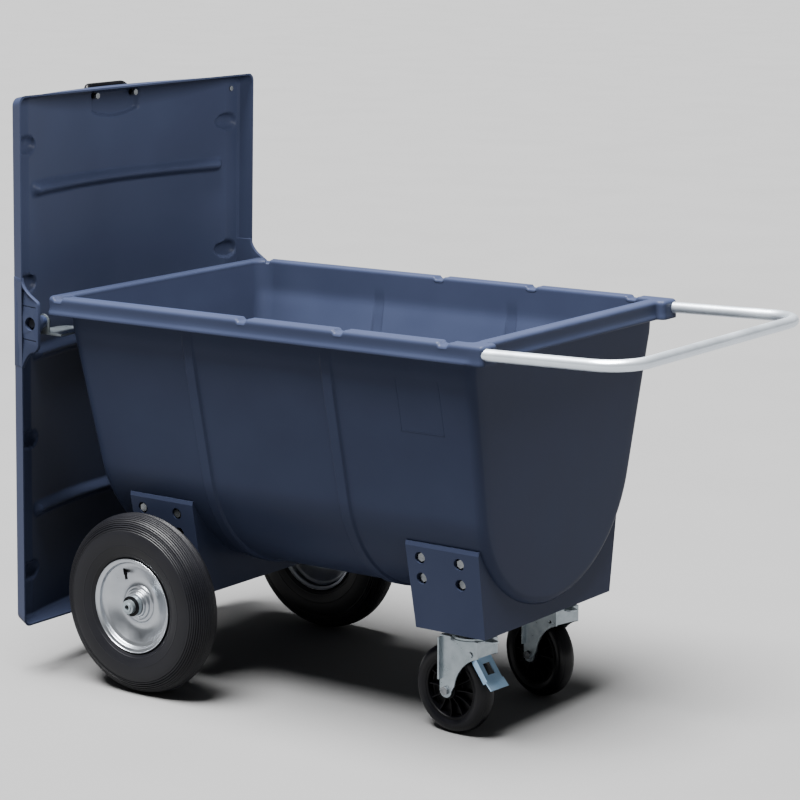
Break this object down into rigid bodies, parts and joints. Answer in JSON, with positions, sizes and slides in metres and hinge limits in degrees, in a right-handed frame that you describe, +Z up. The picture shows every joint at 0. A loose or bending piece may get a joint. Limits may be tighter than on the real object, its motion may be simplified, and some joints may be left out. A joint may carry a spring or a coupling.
{
  "type": "feed tub cart",
  "caption": "Moulded plastic tub cart with tubular hoop handle, pneumatic rear wheels, swivel castors with brake, and a large tilting lid hinged at the end.",
  "frame": {"origin": "on the floor, under the middle of the bounding box", "axes": "+X to the handle end, +Y to the right-hand wheels as seen from the handle, +Z up"},
  "size_m": [1.6866, 0.816, 1.3329],
  "materials": {
    "navy_plastic": "rotomoulded polyethylene, dark blue, satin orange-peel surface",
    "galvanised_tube": "bright galvanised tube, satin",
    "zinc_steel": "zinc-plated pressed steel",
    "fastener_zinc": "zinc-plated fasteners",
    "wheel_steel": "zinc-plated pressed wheel disc, bright",
    "blue_zinc": "blue passivated zinc sheet",
    "tyre_rubber": "black ribbed pneumatic tyre",
    "tube_rubber": "inner tube, not seen",
    "castor_rubber": "black solid rubber",
    "black_plastic": "black polypropylene",
    "bush_plastic": "dark blue bush",
    "bearing_steel": "hardened balls",
    "black_steel": "blackened pivot bolts"
  },
  "bodies": {
    "cart": {"tub": "navy_plastic", "front_foot_block": "navy_plastic", "rear_axle_block": "navy_plastic", "front_block_bolts": "fastener_zinc", "rear_block_bolts": "fastener_zinc", "block_washers": "fastener_zinc", "block_nuts": "fastener_zinc", "handle_hoop": "galvanised_tube", "handle_screws": "fastener_zinc", "lid_brackets": "zinc_steel", "lid_bracket_bolts": "fastener_zinc", "lid_pivot_bolts": "black_steel", "lid_pivot_spacers": "bush_plastic", "lid_pivot_nuts": "fastener_zinc", "rear_axle": "zinc_steel", "axle_saddles": "zinc_steel", "axle_saddle_bolts": "fastener_zinc", "axle_collars": "zinc_steel", "axle_split_pins": "fastener_zinc", "castor_top_plates": "zinc_steel", "castor_plate_bolts": "fastener_zinc"},
    "lid": {"lid_shell": "navy_plastic", "lid_pivot_bushes": "bush_plastic", "lid_grip": "black_plastic", "lid_grip_bolts": "fastener_zinc", "lid_corner_screw": "fastener_zinc"},
    "brake": {"brake_pedal": "blue_zinc"},
    "wheel_left": {"tyre_left": "tyre_rubber", "inner_tube_left": "tube_rubber", "wheel_disc_left": "wheel_steel", "wheel_hub_left": "zinc_steel", "wheel_bearings_left": "black_plastic", "valve_left": "black_plastic"},
    "castor_left": {"castor_fork_left": "zinc_steel", "castor_kingpin_left": "fastener_zinc", "castor_balls_left": "bearing_steel", "castor_sleeve_left": "zinc_steel", "castor_axle_bolt_left": "fastener_zinc", "castor_axle_nut_left": "fastener_zinc", "brake_pin": "zinc_steel"},
    "castor_wheel_left": {"castor_tyre_left": "castor_rubber", "castor_core_left": "black_plastic", "castor_bearing_left": "bearing_steel"},
    "wheel_right": {"tyre_right": "tyre_rubber", "inner_tube_right": "tube_rubber", "wheel_disc_right": "wheel_steel", "wheel_hub_right": "zinc_steel", "wheel_bearings_right": "black_plastic", "valve_right": "black_plastic"},
    "castor_right": {"castor_fork_right": "zinc_steel", "castor_kingpin_right": "fastener_zinc", "castor_balls_right": "bearing_steel", "castor_sleeve_right": "zinc_steel", "castor_axle_bolt_right": "fastener_zinc", "castor_axle_nut_right": "fastener_zinc"},
    "castor_wheel_right": {"castor_tyre_right": "castor_rubber", "castor_core_right": "black_plastic", "castor_bearing_right": "bearing_steel"}
  },
  "joints": [
    {"name": "lid_tilt", "type": "hinge", "parent": "cart", "child": "lid", "pos_m": [-0.70435, 0, 0.82583], "axis": [0, 1, 0], "range_deg": [0, 84]},
    {"name": "wheel_spin_left", "type": "hinge", "parent": "cart", "child": "wheel_left", "pos_m": [-0.4502, -0.3352, 0.206], "axis": [0, 1, 0], "continuous": true},
    {"name": "castor_swivel_left", "type": "hinge", "parent": "cart", "child": "castor_left", "pos_m": [0.3314, -0.1601, 0.216], "axis": [0, 0, 1], "continuous": true},
    {"name": "castor_spin_left", "type": "hinge", "parent": "castor_left", "child": "castor_wheel_left", "pos_m": [0.28558, -0.15609, 0.099], "axis": [0.0872, 0.9962, 0], "continuous": true},
    {"name": "wheel_spin_right", "type": "hinge", "parent": "cart", "child": "wheel_right", "pos_m": [-0.4502, 0.3352, 0.206], "axis": [0, 1, 0], "continuous": true},
    {"name": "castor_swivel_right", "type": "hinge", "parent": "cart", "child": "castor_right", "pos_m": [0.3314, 0.1601, 0.216], "axis": [0, 0, 1], "continuous": true},
    {"name": "castor_spin_right", "type": "hinge", "parent": "castor_right", "child": "castor_wheel_right", "pos_m": [0.28677, 0.17123, 0.099], "axis": [0.2419, 0.9703, 0], "continuous": true},
    {"name": "brake_press", "type": "hinge", "parent": "castor_left", "child": "brake", "pos_m": [0.35332, -0.16202, 0.19], "axis": [0.0872, 0.9962, 0], "range_deg": [0, 9]}
  ]
}
